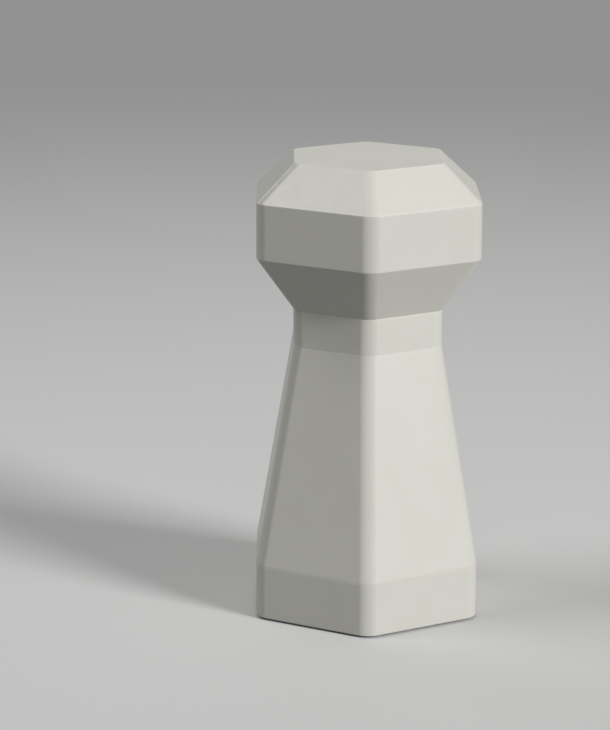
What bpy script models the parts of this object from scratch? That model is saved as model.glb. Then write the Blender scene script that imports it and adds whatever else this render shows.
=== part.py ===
"""A weighted board game pawn: a hexagonal playing piece of three moulded shells, with a steel slug inside.

Units are metres and +Z is up. The origin is the middle of the felt pad's underside, where the pawn stands.
Every hexagon is measured across its flats, which face +X, and has corners at -Y and +Y.
"""

import math

import bmesh
import bpy
from mathutils import Matrix

MM = 0.001

# Outside of the pawn, from the board up
FOOT_FLATS = 12.0 * MM
FOOT_HEIGHT = 3.0 * MM
TAPER_HEIGHT = 12.0 * MM
NECK_FLATS = 8.0 * MM
NECK_HEIGHT = 2.0 * MM
FLARE_HEIGHT = 3.0 * MM
BAND_HEIGHT = 3.0 * MM
CHAMFER_HEIGHT = 2.0 * MM
TOP_FLATS = 8.0 * MM
ARRIS_RADIUS = 1.0 * MM

# Joint between the neck and the head
SHOULDER_WIDTH = 1.1 * MM
SPIGOT_WALL = 1.0 * MM
CROWN_THICKNESS = 2.5 * MM
SPIGOT_END_GAP = 0.4 * MM

# Hollow of the body, measured level through its side
SHELL_WALL = 1.2 * MM
NECK_WEB = 3.5 * MM
RIB_WIDTH = 0.8 * MM
RIB_STANDOFF = 0.4 * MM

# Foot, felt and slug
PLUG_HEIGHT = 2.0 * MM
FOOT_FLOOR = 1.2 * MM
SOLE_RIM = 0.85 * MM
FELT_THICKNESS = 1.0 * MM
FELT_PROUD = 0.1 * MM
SLUG_CHAMFER = 0.4 * MM

# Fits: a bonded or seated face, and each side of a piece that slides into another
BOND_GAP = 0.05 * MM
FIT_CLEARANCE = 0.1 * MM
LEAD_IN = 0.4 * MM
INNER_RADIUS = 0.5 * MM

HEXAGON = 6
ROUND_PROFILE = 0.5
ARRIS_SEGMENTS = 8
ROUND_SEGMENTS = 48
SHARP_ANGLE = math.radians(8.5)

IVORY_PLASTIC = ("ivory_plastic", (0.76, 0.75, 0.68, 1.0), 0.45, 0.0)
TURNED_STEEL = ("turned_steel", (0.56, 0.56, 0.57, 1.0), 0.35, 1.0)
GREEN_FELT = ("green_felt", (0.022, 0.105, 0.055, 1.0), 0.95, 0.0)

# Sizes that follow: the head is as wide as the foot, and a cutter overruns the face that it opens
HEAD_FLATS = FOOT_FLATS
OVERRUN = SHELL_WALL
HEAD_HEIGHT = FLARE_HEIGHT + BAND_HEIGHT + CHAMFER_HEIGHT
SHOULDER_HEIGHT = TAPER_HEIGHT + NECK_HEIGHT
SPIGOT_FLATS = NECK_FLATS - 2 * SHOULDER_WIDTH
SPIGOT_BORE = SPIGOT_FLATS - 2 * SPIGOT_WALL
SOCKET_DEPTH = HEAD_HEIGHT - CROWN_THICKNESS
CAVITY_HEIGHT = SHOULDER_HEIGHT - NECK_WEB
RECESS_TOP = FELT_THICKNESS + BOND_GAP
CUP_FLOOR = RECESS_TOP + FOOT_FLOOR
SLUG_BOTTOM = CUP_FLOOR + BOND_GAP
SLUG_TOP = FOOT_HEIGHT + CAVITY_HEIGHT - BOND_GAP


def along(height, span, flats_low, flats_high):
    """Width across flats at a height on a side that runs straight from one width to another."""
    return flats_low + (flats_high - flats_low) * height / span


def taper_flats(height):
    """Width of the body's outside, at a height above the foot."""
    return along(height, TAPER_HEIGHT, FOOT_FLATS, NECK_FLATS)


def cavity_flats(height):
    """Width of the body's hollow, at a height above the foot."""
    return taper_flats(height) - 2 * SHELL_WALL


SLUG_DIAMETER = cavity_flats(SLUG_TOP - FOOT_HEIGHT) - 2 * FIT_CLEARANCE
CUP_DIAMETER = SLUG_DIAMETER + 2 * FIT_CLEARANCE


def collection(name):
    made = bpy.data.collections.new(name)
    bpy.context.scene.collection.children.link(made)
    return made


def material(name, colour, roughness, metallic):
    made = bpy.data.materials.new(name)
    made.use_nodes = True
    made.diffuse_color = colour
    shader = made.node_tree.nodes["Principled BSDF"]
    shader.inputs["Base Color"].default_value = colour
    shader.inputs["Roughness"].default_value = roughness
    shader.inputs["Metallic"].default_value = metallic
    return made


def object_from(name, shape):
    """An object holding a finished bmesh, which is freed."""
    mesh = bpy.data.meshes.new(name)
    bmesh.ops.recalc_face_normals(shape, faces=shape.faces)
    shape.to_mesh(mesh)
    shape.free()
    return bpy.data.objects.new(name, mesh)


def chamfer_cap(shape, width, highest):
    """Chamfer the edge of a shape's top or bottom cap."""
    pick = max if highest else min
    cap = pick(shape.faces, key=lambda face: face.calc_center_median().z)
    bmesh.ops.bevel(shape, geom=list(cap.edges), offset=width, segments=1, affect="EDGES")


def arris_setback(radius, rise, run):
    """Distance from a hexagonal frustum's arris to where a round of this radius meets the side face."""
    level = rise / math.hypot(rise, run)
    turn = math.acos(1 - (1 - math.cos(math.tau / HEXAGON)) * level**2)
    return radius * math.tan(turn / 2)


def hexagon(name, low, high, flats_low, flats_high, radius, lead_in=0.0):
    """A hexagonal prism or frustum on the Z axis with rounded arrises, and a chamfer on its top edge."""
    rise = high - low
    to_corner = 0.5 / math.cos(math.pi / HEXAGON)
    shape = bmesh.new()
    bmesh.ops.create_cone(
        shape,
        cap_ends=True,
        segments=HEXAGON,
        radius1=flats_low * to_corner,
        radius2=flats_high * to_corner,
        depth=rise,
        matrix=Matrix.Translation((0, 0, (low + high) / 2)),
    )
    arrises = [edge for edge in shape.edges if abs(edge.verts[0].co.z - edge.verts[1].co.z) > rise / 2]
    bmesh.ops.bevel(
        shape,
        geom=arrises,
        offset=arris_setback(radius, rise, (flats_low - flats_high) / 2),
        offset_type="OFFSET",
        segments=ARRIS_SEGMENTS,
        profile=ROUND_PROFILE,
        affect="EDGES",
    )
    if lead_in:
        chamfer_cap(shape, lead_in, highest=True)
    return object_from(name, shape)


def cylinder(name, low, high, diameter, chamfer=0.0):
    """A cylinder on the Z axis, with both its rims chamfered."""
    shape = bmesh.new()
    bmesh.ops.create_cone(
        shape,
        cap_ends=True,
        segments=ROUND_SEGMENTS,
        radius1=diameter / 2,
        radius2=diameter / 2,
        depth=high - low,
        matrix=Matrix.Translation((0, 0, (low + high) / 2)),
    )
    if chamfer:
        chamfer_cap(shape, chamfer, highest=True)
        chamfer_cap(shape, chamfer, highest=False)
    return object_from(name, shape)


def rib_blanks(name, low, high, inner, outer):
    """Upright blocks, one facing each flat of the hexagon."""
    shape = bmesh.new()
    size = Matrix.Diagonal((outer - inner, RIB_WIDTH, high - low, 1))
    middle = Matrix.Translation(((inner + outer) / 2, 0, (low + high) / 2))
    for flat in range(HEXAGON):
        turn = Matrix.Rotation(flat * math.tau / HEXAGON, 4, "Z")
        bmesh.ops.create_cube(shape, size=1, matrix=turn @ middle @ size)
    return object_from(name, shape)


def combine(target, operation, tool):
    """Join, cut or trim an object with a helper that moves with it."""
    cutters.objects.link(tool)
    tool.parent = target
    tool.hide_render = True
    tool.display_type = "WIRE"
    modifier = target.modifiers.new(tool.name, "BOOLEAN")
    modifier.operation = operation
    modifier.object = tool


def place(part, height, look):
    """Add a part to the pawn, at a height above the board."""
    parts.objects.link(part)
    part.parent = pawn
    part.location.z = height
    part.data.materials.append(look)


def finish(part):
    """Apply a part's modifiers, then shade its rounds smooth and its creases sharp."""
    graph = bpy.context.evaluated_depsgraph_get()
    part.data = bpy.data.meshes.new_from_object(part.evaluated_get(graph))
    part.modifiers.clear()
    part.data.shade_smooth()
    part.data.set_sharp_from_angle(angle=SHARP_ANGLE)


def make_head(look):
    """Knob whose flare, band and chamfer are three rounded hexagons trimmed by each other."""
    above = HEAD_HEIGHT + OVERRUN
    flare_above = along(above, FLARE_HEIGHT, NECK_FLATS, HEAD_FLATS)
    chamfer_below = along(above, CHAMFER_HEIGHT, TOP_FLATS, HEAD_FLATS)
    socket_flats = SPIGOT_FLATS + 2 * FIT_CLEARANCE
    head = hexagon("head", 0, above, NECK_FLATS, flare_above, ARRIS_RADIUS)
    place(head, FOOT_HEIGHT + SHOULDER_HEIGHT, look)
    band = hexagon("head_band", -OVERRUN, above, HEAD_FLATS, HEAD_FLATS, ARRIS_RADIUS)
    combine(head, "INTERSECT", band)
    chamfer = hexagon("head_chamfer", -OVERRUN, HEAD_HEIGHT, chamfer_below, TOP_FLATS, ARRIS_RADIUS)
    combine(head, "INTERSECT", chamfer)
    socket = hexagon("head_socket", -OVERRUN, SOCKET_DEPTH, socket_flats, socket_flats, INNER_RADIUS)
    combine(head, "DIFFERENCE", socket)
    return head


def make_body(look):
    """Tapered shell and neck, with a hollow spigot for the head and ribs that centre the slug."""
    half_neck = NECK_HEIGHT / 2
    taper_top = TAPER_HEIGHT + half_neck
    shoulder = SHOULDER_HEIGHT - BOND_GAP
    spigot_top = SHOULDER_HEIGHT + SOCKET_DEPTH - SPIGOT_END_GAP
    body = hexagon("body", 0, taper_top, FOOT_FLATS, taper_flats(taper_top), ARRIS_RADIUS)
    place(body, FOOT_HEIGHT, look)
    neck = hexagon("neck", TAPER_HEIGHT - half_neck, shoulder, NECK_FLATS, NECK_FLATS, ARRIS_RADIUS)
    combine(body, "UNION", neck)
    spigot = hexagon("spigot", TAPER_HEIGHT, spigot_top, SPIGOT_FLATS, SPIGOT_FLATS, INNER_RADIUS, LEAD_IN)
    combine(body, "UNION", spigot)
    mouth_flats = cavity_flats(-OVERRUN)
    ceiling_flats = cavity_flats(CAVITY_HEIGHT)
    cavity = hexagon("cavity", -OVERRUN, CAVITY_HEIGHT, mouth_flats, ceiling_flats, INNER_RADIUS)
    combine(body, "DIFFERENCE", cavity)
    rib_foot = PLUG_HEIGHT + RIB_STANDOFF
    ribs = rib_blanks("ribs", rib_foot, CAVITY_HEIGHT + OVERRUN, CUP_DIAMETER / 2, FOOT_FLATS / 2)
    combine(cavity, "DIFFERENCE", ribs)
    bore = cylinder("spigot_bore", CAVITY_HEIGHT - OVERRUN, spigot_top + OVERRUN, SPIGOT_BORE)
    combine(body, "DIFFERENCE", bore)
    return body


def make_foot(look):
    """Plinth with a tapered plug that closes the body, a cup for the slug and a recess for the felt."""
    plug_root = -FOOT_HEIGHT / 2
    plug_top = FOOT_HEIGHT + PLUG_HEIGHT
    recess_flats = FOOT_FLATS - 2 * SOLE_RIM
    foot = hexagon("foot", FELT_PROUD, FOOT_HEIGHT - BOND_GAP, FOOT_FLATS, FOOT_FLATS, ARRIS_RADIUS)
    place(foot, 0, look)
    plug = hexagon(
        "plug",
        FOOT_HEIGHT + plug_root,
        plug_top,
        cavity_flats(plug_root) - 2 * FIT_CLEARANCE,
        cavity_flats(PLUG_HEIGHT) - 2 * FIT_CLEARANCE,
        INNER_RADIUS,
        LEAD_IN,
    )
    combine(foot, "UNION", plug)
    cup = cylinder("slug_cup", CUP_FLOOR, plug_top + OVERRUN, CUP_DIAMETER)
    combine(foot, "DIFFERENCE", cup)
    recess = hexagon("felt_recess", -OVERRUN, RECESS_TOP, recess_flats, recess_flats, INNER_RADIUS)
    combine(foot, "DIFFERENCE", recess)
    return foot


def make_ballast_slug(look):
    """Turned steel bar that stands in the foot's cup and reaches up between the body's ribs."""
    slug = cylinder("ballast_slug", 0, SLUG_TOP - SLUG_BOTTOM, SLUG_DIAMETER, SLUG_CHAMFER)
    place(slug, SLUG_BOTTOM, look)
    return slug


def make_felt_pad(look):
    """Hexagon of felt in the foot's recess, just proud of the rim."""
    flats = FOOT_FLATS - 2 * SOLE_RIM - 2 * FIT_CLEARANCE
    pad = hexagon("felt_pad", 0, FELT_THICKNESS, flats, flats, INNER_RADIUS)
    place(pad, 0, look)
    return pad


for leftover in list(bpy.data.objects):
    bpy.data.objects.remove(leftover)

parts = collection("Board game pawn")
cutters = collection("Cutters")
pawn = bpy.data.objects.new("pawn", None)
parts.objects.link(pawn)

plastic = material(*IVORY_PLASTIC)
made_parts = [
    make_head(plastic),
    make_body(plastic),
    make_foot(plastic),
    make_ballast_slug(material(*TURNED_STEEL)),
    make_felt_pad(material(*GREEN_FELT)),
]
for made_part in made_parts:
    finish(made_part)
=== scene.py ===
"""Looks of a weighted board game pawn: three satin ivory mouldings on a felt sole.

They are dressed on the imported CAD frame, in metres and in its axes: +Z is up, and a corner of every
hexagon points along -Y, at the camera. A half width is half of a hexagon's width across its flats,
or the radius of a round.
"""

import collections
import math

import bmesh
import bpy
from mathutils import Matrix, Vector, noise


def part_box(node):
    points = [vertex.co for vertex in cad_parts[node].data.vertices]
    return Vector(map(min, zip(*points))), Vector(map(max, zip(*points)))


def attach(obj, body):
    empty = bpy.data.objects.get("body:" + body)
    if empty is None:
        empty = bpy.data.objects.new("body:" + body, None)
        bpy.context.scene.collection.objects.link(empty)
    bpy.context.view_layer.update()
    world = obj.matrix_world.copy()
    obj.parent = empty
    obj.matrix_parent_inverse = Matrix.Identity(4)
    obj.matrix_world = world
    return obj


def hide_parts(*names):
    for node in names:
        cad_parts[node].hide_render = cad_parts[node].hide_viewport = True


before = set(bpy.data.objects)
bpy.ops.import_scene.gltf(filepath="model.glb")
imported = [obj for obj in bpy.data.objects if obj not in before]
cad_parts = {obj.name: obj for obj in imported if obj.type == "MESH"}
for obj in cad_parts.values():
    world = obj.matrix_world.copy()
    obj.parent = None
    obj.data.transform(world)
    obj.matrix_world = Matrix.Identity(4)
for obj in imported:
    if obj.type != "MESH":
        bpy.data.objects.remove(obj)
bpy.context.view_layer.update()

MM = 0.001

# Outside of the pawn, where the frame's boxes don't give it
NECK_HALF = 4.0 * MM
NECK_HEIGHT = 2.0 * MM
BAND_HEIGHT = 3.0 * MM
CHAMFER_HEIGHT = 2.0 * MM
TOP_HALF = 4.0 * MM
ARRIS_RADIUS = 1.0 * MM

# Inside of it
SHOULDER_WIDTH = 1.1 * MM
SPIGOT_WALL = 1.0 * MM
CROWN_THICKNESS = 2.5 * MM
SHELL_WALL = 1.2 * MM
RIB_WIDTH = 0.8 * MM
RIB_STANDOFF = 0.4 * MM
INNER_RADIUS = 0.5 * MM
LEAD_IN = 0.4 * MM
FIT_CLEARANCE = 0.1 * MM
BOND_GAP = 0.05 * MM

# Edges that a mould and a bonded seam leave, and how far the wear of an edge reaches beside it
EDGE_ROUND = 0.05 * MM
SEAM_ROUND = 0.015 * MM
SEAM_GAP = 0.003 * MM
EDGE_FADE = 0.12 * MM
EDGE_FADE_SHARE = 1 / 3

# Fineness of the meshes
HEXAGON = 6
SECTOR = math.tau / HEXAGON
CORNER_STEPS = 16
EDGE_STEPS = 5
SAME_PLACE = 0.0001 * MM
CREASE_ANGLE = math.radians(40)
FELT_VOXEL = 0.11 * MM

# Felt's cut edge, and its nap: depth, size of a clump, and the noise that gives it
FELT_EDGE_ROUND = 0.2 * MM
NAP_DEPTH = 0.03 * MM
NAP_CLUMP = 0.45 * MM
NAP_FALLOFF = 0.5
NAP_LACUNARITY = 2.0
NAP_OCTAVES = 4
NAP_TOP = 0.6

# Ivory plastic: sizes of its patterns, depths of its grain, tones and gloss
FLOW_SIZE = 3.0 * MM
WAVE_SIZE = 2.2 * MM
RUB_SIZE = 0.9 * MM
SATIN_SIZE = 0.6 * MM
SPECK_SIZE = 0.12 * MM
GRAIN_SIZE = 0.1 * MM
WAVE_DEPTH = 0.004 * MM
GRAIN_DEPTH = 0.0012 * MM
IVORY = (0.795, 0.785, 0.715, 1)
PALE_IVORY = (0.815, 0.805, 0.74, 1)
SPECK_IVORY = (0.74, 0.73, 0.66, 1)
RUBBED_IVORY = (0.86, 0.855, 0.81, 1)
SPECK_SHARE = 0.125
RUB_SHARE = 0.5
SATIN_ROUGHNESS = (0.33, 0.41)
RUB_POLISH = 0.06
IVORY_SPECULAR = 0.5

# Coarser finish of the flat crown, and the uprightness of a surface over which it comes in
CROWN_ROUGHNESS = 0.46
CROWN_UPRIGHT = (0.9, 0.99)

# Turned steel
RING_SIZE = 0.06 * MM
RING_DEPTH = 0.004 * MM
FILM_SIZE = 1.5 * MM
STEEL = (0.56, 0.56, 0.57, 1)
OILED_STEEL = (0.5, 0.49, 0.47, 1)
STEEL_ROUGHNESS = (0.28, 0.42)

# Green felt: fibres that lie at several angles in degrees and curl, in clumps
FIBRE_ANGLES = (15, 50, 85, 120, 155)
FIBRE_WIDTH = 0.06 * MM
FIBRE_STRETCH = 9
FIBRE_DEPTH = 0.05 * MM
FIBRE_NOISE = (0.5, 0.75)
CURL_SIZE = 0.7 * MM
CURL_REACH = 0.5 * MM
CLUMP_SIZE = 0.6 * MM
CLUMP_SHARE = 0.5
DEEP_GREEN = (0.012, 0.062, 0.032, 1)
FIBRE_GREEN = (0.04, 0.16, 0.09, 1)
CLUMP_GREEN = (0.02, 0.1, 0.05, 1)
FELT_ROUGHNESS = 0.95
FELT_SHEEN = 0.35

# Range that a noise mostly keeps to
NOISE_LOW = 0.3
NOISE_HIGH = 0.7

# Sockets of a Mix node that mixes colours
MIX_FACTOR = 0
MIX_FIRST = 6
MIX_SECOND = 7
MIX_RESULT = 2

# Floor and surroundings: tones that are seen, with a pool of light painted on the floor that is paler
# near the pawn and darker far off, and dimmer tones that light the pawn
FLOOR_SIZE = 4.0
PAINTED_POOL_REACH = 200 * MM
FLOOR_ROUGHNESS = 0.9
PAINTED_POOL_LIT_FLOOR = (0.82, 0.82, 0.815, 1)
PAINTED_POOL_DIM_FLOOR = (0.4, 0.4, 0.397, 1)
DIM_FLOOR = (0.12, 0.12, 0.12, 1)
SEEN_SKY = (0.28, 0.28, 0.28, 1)
DIM_SKY = (0.15, 0.15, 0.15, 1)

# Camera, from a fit to the photo's outline
LENS_MM = 153.64
CAMERA_DISTANCE = 170.25 * MM
CAMERA_AZIMUTH = math.radians(-0.463)
CAMERA_ELEVATION = math.radians(13.9)
CAMERA_ROLL = math.radians(0.207)
AIM_RIGHT = -3.362 * MM
AIM_HEIGHT = 13.408 * MM
CLIP_START = CAMERA_DISTANCE / 100
CLIP_END = FLOOR_SIZE * 2

# Lamps, with their angles in degrees: azimuth 0 is the camera's side, and 90 its right
Lamp = collections.namedtuple("Lamp", "azimuth elevation strength width")
LAMPS = {
    "key": Lamp(azimuth=52, elevation=23, strength=2.23, width=20),
    "fill": Lamp(azimuth=-87, elevation=58, strength=0.62, width=26),
    "front": Lamp(azimuth=0, elevation=12, strength=0.21, width=50),
    "rim": Lamp(azimuth=-143, elevation=22, strength=0.18, width=18),
    "back": Lamp(azimuth=180, elevation=45, strength=0.15, width=40),
}

Wall = collections.namedtuple("Wall", "start end corner edge handled")
Level = collections.namedtuple("Level", "half height corner edge handled")


# Mesh of a piece

def outside(start, end, edge):
    """An outer wall of the pawn, whose arrises have a round of the same radius at any slope."""
    run = end[0] - start[0]
    rise = end[1] - start[1]
    return Wall(start, end, ARRIS_RADIUS * abs(rise) / math.hypot(run, rise), edge, 1.0)


def inside(start, end, edge):
    """A hexagonal wall in a hollow or on a plug, or a level one."""
    return Wall(start, end, INNER_RADIUS, edge, 0.0)


def turned(start, end, edge):
    """A round wall."""
    return Wall(start, end, math.inf, edge, 0.0)


def arc(before, corner, after, radius):
    """Points along the arc that rounds one corner of a section."""
    way_in = (corner - before).normalized()
    way_out = (after - corner).normalized()
    turn = way_in.angle(way_out)
    side = (way_out - way_in * math.cos(turn)).normalized()
    begin = corner - way_in * radius * math.tan(turn / 2)
    for step in range(EDGE_STEPS + 1):
        angle = turn * step / EDGE_STEPS
        yield begin + way_in * radius * math.sin(angle) + side * radius * (1 - math.cos(angle))


def corners_of(walls, loop):
    """Corners of a section as (place, wall before, wall after, radius of its edge)."""
    following = walls[1:] + walls[:1] if loop else walls[1:]
    for wall, after in zip(walls, following):
        meeting = Vector(wall.end)
        if (Vector(after.start) - meeting).length < SAME_PLACE:
            yield meeting, wall, after, wall.edge
        else:
            yield meeting, wall, wall, wall.edge
            yield Vector(after.start), after, after, wall.edge


def beside(bend_end, next_corner):
    """A point on the straight beside a rounded edge, where the signs of the edge have faded."""
    straight = next_corner - bend_end
    return bend_end + straight * min(EDGE_FADE / straight.length, EDGE_FADE_SHARE)


def level_at(point, wall, after, edge):
    """A level in the bend from one wall to the next."""
    corner = max(wall.corner, after.corner)
    handled = min(wall.handled, after.handled)
    return Level(*point, corner, edge, handled)


def levels_of(walls, loop):
    """Hexagons to skin, in order along a section, with its edges rounded."""
    corners = list(corners_of(walls, loop))
    places = [place for place, *_ in corners]
    first = places[-1] if loop else Vector(walls[0].start)
    last = places[0] if loop else Vector(walls[-1].end)
    levels = []
    if not loop:
        levels.append(level_at(first, walls[0], walls[0], 0.0))
    around = zip([first] + places[:-1], corners, places[1:] + [last])
    for before, (place, wall, after, radius), beyond in around:
        bend = list(arc(before, place, beyond, radius))
        levels.append(level_at(beside(bend[0], before), wall, wall, 0.0))
        for point in bend:
            levels.append(level_at(point, wall, after, float(radius > SEAM_ROUND)))
        levels.append(level_at(beside(bend[-1], beyond), after, after, 0.0))
    if not loop:
        levels.append(level_at(last, walls[-1], walls[-1], 0.0))
    return levels


def compass(angle):
    """Level direction at an angle from +X."""
    return Vector((math.cos(angle), math.sin(angle), 0))


def ring_points(level):
    """Points of a level hexagon with rounded corners, or of a circle, from the corner at -Y round.

    With each comes how far it is into the round of a corner, from 0 at its ends to 1 in its middle.
    The two sides at a corner run two sectors away from the direction that it points in.
    """
    for corner in range(HEXAGON):
        towards = corner * SECTOR - math.pi / 2
        tip = compass(towards) * level.half / math.cos(SECTOR / 2)
        setback = level.corner * math.tan(SECTOR / 2)
        for step in range(CORNER_STEPS + 1):
            share = step / CORNER_STEPS
            if math.isinf(level.corner):
                yield compass(towards + (share - 0.5) * SECTOR) * level.half, 0.0
            else:
                turn = share * math.pi / 2
                before = compass(towards - 2 * SECTOR) * (1 - math.sin(turn))
                after = compass(towards + 2 * SECTOR) * (1 - math.cos(turn))
                yield tip + (before + after) * setback, math.sin(share * math.pi)**2


def skin(name, walls, loop=False):
    """A closed mesh through the hexagons of a section, capped at its ends or joined into a loop."""
    shape = bmesh.new()
    edge_layer = shape.verts.layers.float.new("edge")
    arris_layer = shape.verts.layers.float.new("arris")
    rings = []
    for level in levels_of(walls, loop):
        ring = []
        for point, arris in ring_points(level):
            vertex = shape.verts.new((point.x, point.y, level.height))
            vertex[edge_layer] = level.edge
            vertex[arris_layer] = arris * level.handled
            ring.append(vertex)
        rings.append(ring)
    pairs = zip(rings, rings[1:] + rings[:1]) if loop else zip(rings, rings[1:])
    for ring, beyond in pairs:
        for here, there in zip(range(len(ring)), [*range(1, len(ring)), 0]):
            shape.faces.new((ring[here], ring[there], beyond[there], beyond[here]))
    if not loop:
        shape.faces.new(rings[0])
        shape.faces.new(rings[-1])
    bmesh.ops.remove_doubles(shape, verts=shape.verts, dist=SAME_PLACE)
    bmesh.ops.recalc_face_normals(shape, faces=shape.faces)
    return object_from(name, shape)


def object_from(name, shape):
    """A linked object holding a finished bmesh, which is freed."""
    mesh = bpy.data.meshes.new(name)
    shape.to_mesh(mesh)
    shape.free()
    piece = bpy.data.objects.new(name, mesh)
    bpy.context.scene.collection.objects.link(piece)
    return piece


def apply_modifiers(piece):
    """Replace a piece's mesh by what its modifiers make of it."""
    graph = bpy.context.evaluated_depsgraph_get()
    piece.data = bpy.data.meshes.new_from_object(piece.evaluated_get(graph))
    piece.modifiers.clear()


def shade(piece):
    """Smooth shading that keeps large faces flat."""
    piece.data.shade_smooth()
    piece.data.set_sharp_from_angle(angle=CREASE_ANGLE)
    weighted = piece.modifiers.new("flat faces", "WEIGHTED_NORMAL")
    weighted.keep_sharp = True


def dress(piece, node, look):
    """Let a piece stand for a CAD node, with its body and a finish."""
    piece.data.materials.clear()
    piece.data.materials.append(look)
    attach(piece, "root")
    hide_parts(node)


# Pieces

HEAD_LOW, HEAD_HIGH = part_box("head")
BODY_LOW, BODY_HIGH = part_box("body")
FOOT_LOW, FOOT_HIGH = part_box("foot")
SLUG_LOW, SLUG_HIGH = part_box("ballast_slug")
FELT_LOW, FELT_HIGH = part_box("felt_pad")

HALF = FOOT_HIGH.x
NECK_LOW = HEAD_LOW.z - NECK_HEIGHT
SPIGOT_HALF = NECK_HALF - SHOULDER_WIDTH
CAVITY_TOP = SLUG_HIGH.z + BOND_GAP
CUP_HALF = SLUG_HIGH.x + FIT_CLEARANCE


def taper_half(height):
    """Half width of the body's outside."""
    return HALF + (NECK_HALF - HALF) * (height - BODY_LOW.z) / (NECK_LOW - BODY_LOW.z)


def make_head(look):
    """Faceted knob over the spigot."""
    top = HEAD_HIGH.z
    band_top = top - CHAMFER_HEIGHT
    band_low = band_top - BAND_HEIGHT
    socket_half = SPIGOT_HALF + FIT_CLEARANCE
    socket_top = top - CROWN_THICKNESS
    walls = [
        inside((TOP_HALF / 2, top), (TOP_HALF, top), EDGE_ROUND),
        outside((TOP_HALF, top), (HALF, band_top), EDGE_ROUND),
        outside((HALF, band_top), (HALF, band_low), EDGE_ROUND),
        outside((HALF, band_low), (NECK_HALF, HEAD_LOW.z), SEAM_ROUND),
        inside((socket_half, HEAD_LOW.z), (socket_half, socket_top), EDGE_ROUND),
        inside((socket_half, socket_top), (socket_half / 2, socket_top), EDGE_ROUND),
    ]
    head = skin("head_moulding", walls)
    shade(head)
    dress(head, "head", look)


def rib_blocks():
    """Upright webs, one on each flat of the cavity, which centre the slug and run into the shell."""
    low = FOOT_HIGH.z + RIB_STANDOFF
    high = CAVITY_TOP + SHELL_WALL / 2
    section = [
        (CUP_HALF, low),
        (taper_half(low) - SHELL_WALL / 2, low),
        (taper_half(high) - SHELL_WALL / 2, high),
        (CUP_HALF, high),
    ]
    shape = bmesh.new()
    for flat in range(HEXAGON):
        turn = Matrix.Rotation(flat * SECTOR, 4, "Z")
        near = [shape.verts.new(turn @ Vector((out, -RIB_WIDTH / 2, up))) for out, up in section]
        far = [shape.verts.new(turn @ Vector((out, RIB_WIDTH / 2, up))) for out, up in section]
        shape.faces.new(near)
        shape.faces.new(far)
        for here in range(len(section)):
            shape.faces.new((near[here - 1], near[here], far[here], far[here - 1]))
    bmesh.ops.recalc_face_normals(shape, faces=shape.faces)
    return object_from("rib_blocks", shape)


def make_body(look):
    """Tapered shell and neck, with the spigot above and the hollow for the slug inside."""
    low = BODY_LOW.z
    shoulder = HEAD_LOW.z - SEAM_GAP
    bore = SPIGOT_HALF - SPIGOT_WALL
    top = BODY_HIGH.z
    mouth = taper_half(low) - SHELL_WALL
    ceiling = taper_half(CAVITY_TOP) - SHELL_WALL
    walls = [
        outside((NECK_HALF, shoulder), (NECK_HALF, NECK_LOW), EDGE_ROUND),
        outside((NECK_HALF, NECK_LOW), (HALF, low), SEAM_ROUND),
        inside((mouth, low), (ceiling, CAVITY_TOP), EDGE_ROUND),
        turned((bore, CAVITY_TOP), (bore, top), EDGE_ROUND),
        inside((SPIGOT_HALF - LEAD_IN, top), (SPIGOT_HALF, top - LEAD_IN), EDGE_ROUND),
        inside((SPIGOT_HALF, top - LEAD_IN), (SPIGOT_HALF, shoulder), SEAM_ROUND),
    ]
    body = skin("body_moulding", walls, loop=True)
    ribs = rib_blocks()
    union = body.modifiers.new("ribs", "BOOLEAN")
    union.operation = "UNION"
    union.object = ribs
    facets = body.modifiers.new("facets", "TRIANGULATE")
    facets.quad_method = "BEAUTY"
    facets.ngon_method = "BEAUTY"
    apply_modifiers(body)
    bpy.data.objects.remove(ribs)
    shade(body)
    dress(body, "body", look)


def make_foot(look):
    """Plinth with the plug that closes the body, the slug's cup and the felt's recess."""
    seat = BODY_LOW.z - SEAM_GAP
    top = FOOT_HIGH.z
    cup_floor = SLUG_LOW.z - BOND_GAP
    recess_half = FELT_HIGH.x + FIT_CLEARANCE
    recess_top = FELT_HIGH.z + BOND_GAP
    plug_low = taper_half(seat) - SHELL_WALL - FIT_CLEARANCE
    plug_high = taper_half(top - LEAD_IN) - SHELL_WALL - FIT_CLEARANCE
    walls = [
        turned((CUP_HALF / 2, cup_floor), (CUP_HALF, cup_floor), EDGE_ROUND),
        turned((CUP_HALF, cup_floor), (CUP_HALF, top), EDGE_ROUND),
        inside((plug_high - LEAD_IN, top), (plug_high, top - LEAD_IN), EDGE_ROUND),
        inside((plug_high, top - LEAD_IN), (plug_low, seat), SEAM_ROUND),
        outside((HALF, seat), (HALF, FOOT_LOW.z), EDGE_ROUND),
        inside((recess_half, FOOT_LOW.z), (recess_half, recess_top), EDGE_ROUND),
        inside((recess_half, recess_top), (recess_half / 2, recess_top), EDGE_ROUND),
    ]
    foot = skin("foot_moulding", walls)
    shade(foot)
    dress(foot, "foot", look)


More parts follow.
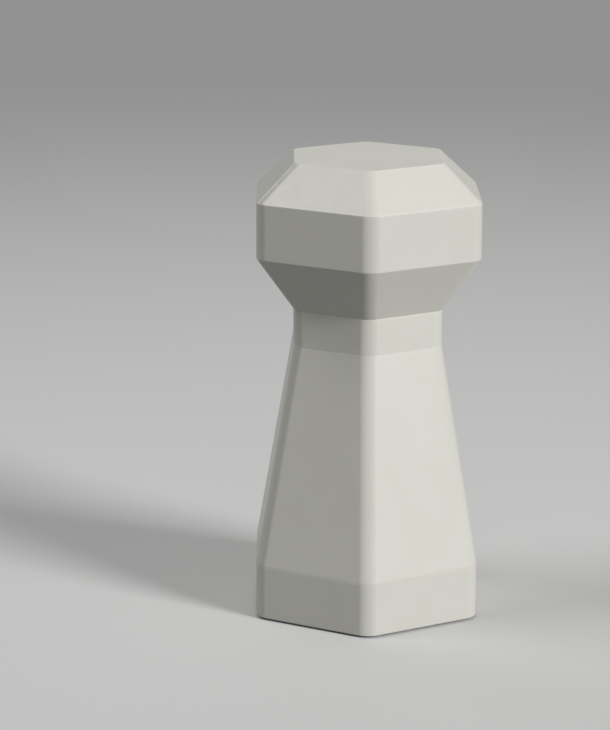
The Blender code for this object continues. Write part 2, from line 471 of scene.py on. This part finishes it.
def make_felt(look):
    """Hexagon of pressed felt with a soft cut edge and a clumped nap."""
    half = FELT_HIGH.x
    walls = [
        inside((half / 2, FELT_LOW.z), (half, FELT_LOW.z), FELT_EDGE_ROUND),
        inside((half, FELT_LOW.z), (half, FELT_HIGH.z), FELT_EDGE_ROUND),
        inside((half, FELT_HIGH.z), (half / 2, FELT_HIGH.z), FELT_EDGE_ROUND),
    ]
    felt = skin("felt_sole", walls)
    remesh = felt.modifiers.new("even faces", "REMESH")
    remesh.mode = "VOXEL"
    remesh.voxel_size = FELT_VOXEL
    apply_modifiers(felt)
    normals = [vertex.normal.copy() for vertex in felt.data.vertices]
    for vertex, normal in zip(felt.data.vertices, normals):
        clump = noise.fractal(vertex.co / NAP_CLUMP, NAP_FALLOFF, NAP_LACUNARITY, NAP_OCTAVES)
        vertex.co += normal * NAP_DEPTH * min(clump - NAP_TOP, 0.0)
        vertex.co.z = max(vertex.co.z, FELT_LOW.z)
    felt.data.shade_smooth()
    dress(felt, "felt_pad", look)


# Finishes

def finish(name):
    """A new node material with its tree and its shader."""
    made = bpy.data.materials.new(name)
    made.use_nodes = True
    return made, made.node_tree, made.node_tree.nodes["Principled BSDF"]


def add(tree, kind, **settings):
    """A node with some of its own settings."""
    made = tree.nodes.new(kind)
    for name, value in settings.items():
        setattr(made, name, value)
    return made


def feed(tree, socket, value):
    """Set a socket to a value, or link another socket to it."""
    if isinstance(value, bpy.types.NodeSocket):
        tree.links.new(value, socket)
    else:
        socket.default_value = value


def object_place(tree):
    """Place on the object, which the patterns follow."""
    return add(tree, "ShaderNodeTexCoord").outputs["Object"]


def attribute(tree, name):
    """A number that the mesh carries at each vertex."""
    return add(tree, "ShaderNodeAttribute", attribute_name=name).outputs["Fac"]


def split(tree, vector):
    """Sockets with the three parts of a vector."""
    made = add(tree, "ShaderNodeSeparateXYZ")
    feed(tree, made.inputs["Vector"], vector)
    return made.outputs


def noise_sockets(tree, place, size, detail):
    """Sockets of a noise texture whose clouds have about this size."""
    made = add(tree, "ShaderNodeTexNoise")
    feed(tree, made.inputs["Vector"], place)
    made.inputs["Scale"].default_value = 1 / size
    made.inputs["Detail"].default_value = detail
    return made.outputs


def cloud(tree, place, size, detail=2.0):
    """Noise as a number."""
    return noise_sockets(tree, place, size, detail)["Fac"]


def spread(tree, value, low, high, start=NOISE_LOW, stop=NOISE_HIGH):
    """Stretch part of a value's range, by default the useful part of a noise, over another range."""
    made = add(tree, "ShaderNodeMapRange")
    feed(tree, made.inputs["Value"], value)
    made.inputs["From Min"].default_value = start
    made.inputs["From Max"].default_value = stop
    made.inputs["To Min"].default_value = low
    made.inputs["To Max"].default_value = high
    return made.outputs["Result"]


def calculate(tree, operation, first, second):
    """Result of a Math node on two numbers."""
    made = add(tree, "ShaderNodeMath", operation=operation)
    feed(tree, made.inputs[0], first)
    feed(tree, made.inputs[1], second)
    return made.outputs["Value"]


def blend(tree, factor, first, second):
    """Mix two colours."""
    made = add(tree, "ShaderNodeMix", data_type="RGBA")
    feed(tree, made.inputs[MIX_FACTOR], factor)
    feed(tree, made.inputs[MIX_FIRST], first)
    feed(tree, made.inputs[MIX_SECOND], second)
    return made.outputs[MIX_RESULT]


def bump(tree, height, distance, below=None):
    """A normal roughened by a height map, over another normal if there is one."""
    made = add(tree, "ShaderNodeBump")
    feed(tree, made.inputs["Height"], height)
    made.inputs["Distance"].default_value = distance
    if below:
        feed(tree, made.inputs["Normal"], below)
    return made.outputs["Normal"]


def ivory_plastic():
    """Satin moulded plastic.

    It has faint flow clouds and a fine spark-eroded grain, and its edges are rubbed smoother and paler.
    The flat crown has a coarser and duller finish than the sides.
    """
    made, tree, shader = finish("ivory plastic")
    place = object_place(tree)

    flow = spread(tree, cloud(tree, place, FLOW_SIZE, detail=3.0), 0.0, 1.0)
    speck = spread(tree, cloud(tree, place, SPECK_SIZE), 0.0, SPECK_SHARE)
    patchy = spread(tree, cloud(tree, place, RUB_SIZE, detail=4.0), 0.0, RUB_SHARE)
    rubbed = calculate(tree, "MULTIPLY", attribute(tree, "edge"), patchy)
    worn = calculate(tree, "MAXIMUM", attribute(tree, "arris"), rubbed)

    tone = blend(tree, flow, IVORY, PALE_IVORY)
    tone = blend(tree, speck, tone, SPECK_IVORY)
    tone = blend(tree, rubbed, tone, RUBBED_IVORY)
    feed(tree, shader.inputs["Base Color"], tone)

    facing = split(tree, add(tree, "ShaderNodeTexCoord").outputs["Normal"])
    coarse = spread(tree, facing["Z"], 0.0, CROWN_ROUGHNESS, *CROWN_UPRIGHT)
    polish = calculate(tree, "MULTIPLY", worn, RUB_POLISH)
    satin = spread(tree, cloud(tree, place, SATIN_SIZE, detail=3.0), *SATIN_ROUGHNESS)
    satin = calculate(tree, "ADD", satin, coarse)
    feed(tree, shader.inputs["Roughness"], calculate(tree, "SUBTRACT", satin, polish))
    shader.inputs["Specular IOR Level"].default_value = IVORY_SPECULAR

    wave = bump(tree, cloud(tree, place, WAVE_SIZE), WAVE_DEPTH)
    unworn = calculate(tree, "SUBTRACT", 1.0, worn)
    grain = calculate(tree, "MULTIPLY", cloud(tree, place, GRAIN_SIZE), unworn)
    feed(tree, shader.inputs["Normal"], bump(tree, grain, GRAIN_DEPTH, wave))
    return made


def turned_steel():
    """Bar turned on a lathe: rings on its ends and side, with a dull oil film."""
    made, tree, shader = finish("turned steel")
    place = object_place(tree)

    across = add(tree, "ShaderNodeVectorMath", operation="MULTIPLY")
    feed(tree, across.inputs[0], place)
    across.inputs[1].default_value = (1, 1, 0)
    radius = add(tree, "ShaderNodeVectorMath", operation="LENGTH")
    feed(tree, radius.inputs[0], across.outputs["Vector"])
    path = add(tree, "ShaderNodeCombineXYZ")
    feed(tree, path.inputs["X"], radius.outputs["Value"])
    feed(tree, path.inputs["Z"], split(tree, place)["Z"])
    ring = cloud(tree, path.outputs["Vector"], RING_SIZE, detail=3.0)
    feed(tree, shader.inputs["Normal"], bump(tree, ring, RING_DEPTH))

    film = cloud(tree, place, FILM_SIZE, detail=4.0)
    oil = spread(tree, film, 0.0, 1.0)
    feed(tree, shader.inputs["Base Color"], blend(tree, oil, STEEL, OILED_STEEL))
    feed(tree, shader.inputs["Roughness"], spread(tree, film, *STEEL_ROUGHNESS))
    shader.inputs["Metallic"].default_value = 1.0
    return made


def curled(tree, place):
    """A place that wanders, so that what is straight there curls."""
    made = add(tree, "ShaderNodeVectorMath", operation="MULTIPLY_ADD")
    feed(tree, made.inputs[0], noise_sockets(tree, place, CURL_SIZE, detail=2.0)["Color"])
    made.inputs[1].default_value = (CURL_REACH, CURL_REACH, CURL_REACH)
    feed(tree, made.inputs[2], place)
    return made.outputs["Vector"]


def green_felt():
    """Pressed wool: crossed and curling fibres in light and dark greens, with a soft sheen."""
    made, tree, shader = finish("green felt")
    place = object_place(tree)

    wandering = curled(tree, place)
    fibres = 0.0
    for angle in FIBRE_ANGLES:
        along = add(tree, "ShaderNodeMapping", vector_type="TEXTURE")
        feed(tree, along.inputs["Vector"], wandering)
        along.inputs["Rotation"].default_value = (0, 0, math.radians(angle))
        along.inputs["Scale"].default_value = (FIBRE_STRETCH, 1, 1)
        strand = cloud(tree, along.outputs["Vector"], FIBRE_WIDTH)
        fibres = calculate(tree, "MAXIMUM", fibres, strand)
    feed(tree, shader.inputs["Normal"], bump(tree, fibres, FIBRE_DEPTH))

    clump = cloud(tree, place, CLUMP_SIZE, detail=3.0)
    tone = blend(tree, spread(tree, fibres, 0.0, 1.0, *FIBRE_NOISE), DEEP_GREEN, FIBRE_GREEN)
    tone = blend(tree, spread(tree, clump, 0.0, CLUMP_SHARE), tone, CLUMP_GREEN)
    feed(tree, shader.inputs["Base Color"], tone)
    shader.inputs["Roughness"].default_value = FELT_ROUGHNESS
    shader.inputs["Sheen Weight"].default_value = FELT_SHEEN
    return made


# Studio

def seen(tree):
    """1 where a surface is looked at, straight or reflected, and 0 where it only throws light back."""
    path = add(tree, "ShaderNodeLightPath")
    direct = calculate(tree, "MAXIMUM", path.outputs["Is Camera Ray"], path.outputs["Is Glossy Ray"])
    return calculate(tree, "MAXIMUM", direct, path.outputs["Is Transmission Ray"])


def make_floor():
    """Pale matt floor with a painted pool of light, paler near the pawn and darker far off, which
    throws little light back up.
    """
    shape = bmesh.new()
    bmesh.ops.create_grid(shape, x_segments=1, y_segments=1, size=FLOOR_SIZE / 2)
    floor = object_from("floor", shape)
    made, tree, shader = finish("pale floor")
    distance = add(tree, "ShaderNodeVectorMath", operation="LENGTH")
    feed(tree, distance.inputs[0], object_place(tree))
    # Painted light: the floor's colour goes from pale near the pawn to darker far off, standing in for
    # lamp light that falls off with distance
    painted_pool = add(tree, "ShaderNodeMapRange", interpolation_type="SMOOTHSTEP")
    feed(tree, painted_pool.inputs["Value"], distance.outputs["Value"])
    painted_pool.inputs["From Max"].default_value = PAINTED_POOL_REACH
    pale = blend(tree, painted_pool.outputs["Result"], PAINTED_POOL_LIT_FLOOR, PAINTED_POOL_DIM_FLOOR)
    feed(tree, shader.inputs["Base Color"], blend(tree, seen(tree), DIM_FLOOR, pale))
    shader.inputs["Roughness"].default_value = FLOOR_ROUGHNESS
    floor.data.materials.append(made)


def make_world():
    """Even dim light all round, which looks paler itself."""
    world = bpy.data.worlds.new("studio")
    world.use_nodes = True
    tree = world.node_tree
    background = tree.nodes["Background"]
    feed(tree, background.inputs["Color"], blend(tree, seen(tree), DIM_SKY, SEEN_SKY))
    bpy.context.scene.world = world


def way_to(azimuth, elevation):
    """Direction from the pawn to a lamp or to the camera."""
    level = math.cos(elevation)
    return Vector((math.sin(azimuth) * level, -math.cos(azimuth) * level, math.sin(elevation)))


def make_lamp(name, lamp):
    """A far soft lamp."""
    light = bpy.data.lights.new(name, "SUN")
    light.energy = lamp.strength
    light.angle = math.radians(lamp.width)
    made = bpy.data.objects.new(name, light)
    back = way_to(math.radians(lamp.azimuth), math.radians(lamp.elevation))
    made.rotation_mode = "QUATERNION"
    made.rotation_quaternion = back.to_track_quat("Z", "Y")
    made.location = back
    bpy.context.scene.collection.objects.link(made)


def make_camera():
    """Camera at the photo's viewpoint."""
    made = bpy.data.cameras.new("camera")
    made.lens = LENS_MM
    made.clip_start = CLIP_START
    made.clip_end = CLIP_END
    back = way_to(CAMERA_AZIMUTH, CAMERA_ELEVATION)
    right = Vector((math.cos(CAMERA_AZIMUTH), math.sin(CAMERA_AZIMUTH), 0))
    up = back.cross(right)
    axes = Matrix((right, up, back)).transposed() @ Matrix.Rotation(CAMERA_ROLL, 3, "Z")
    aim = Vector((0, 0, AIM_HEIGHT)) + right * AIM_RIGHT
    camera = bpy.data.objects.new("camera", made)
    camera.matrix_world = Matrix.Translation(aim + back * CAMERA_DISTANCE) @ axes.to_4x4()
    bpy.context.scene.collection.objects.link(camera)
    bpy.context.scene.camera = camera


plastic = ivory_plastic()
make_head(plastic)
make_body(plastic)
make_foot(plastic)
make_felt(green_felt())
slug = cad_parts["ballast_slug"]
slug.data.materials[0] = turned_steel()

make_floor()
make_world()
for lamp_name, lamp_settings in LAMPS.items():
    make_lamp(lamp_name, lamp_settings)
make_camera()
bpy.context.scene.view_settings.view_transform = "Standard"
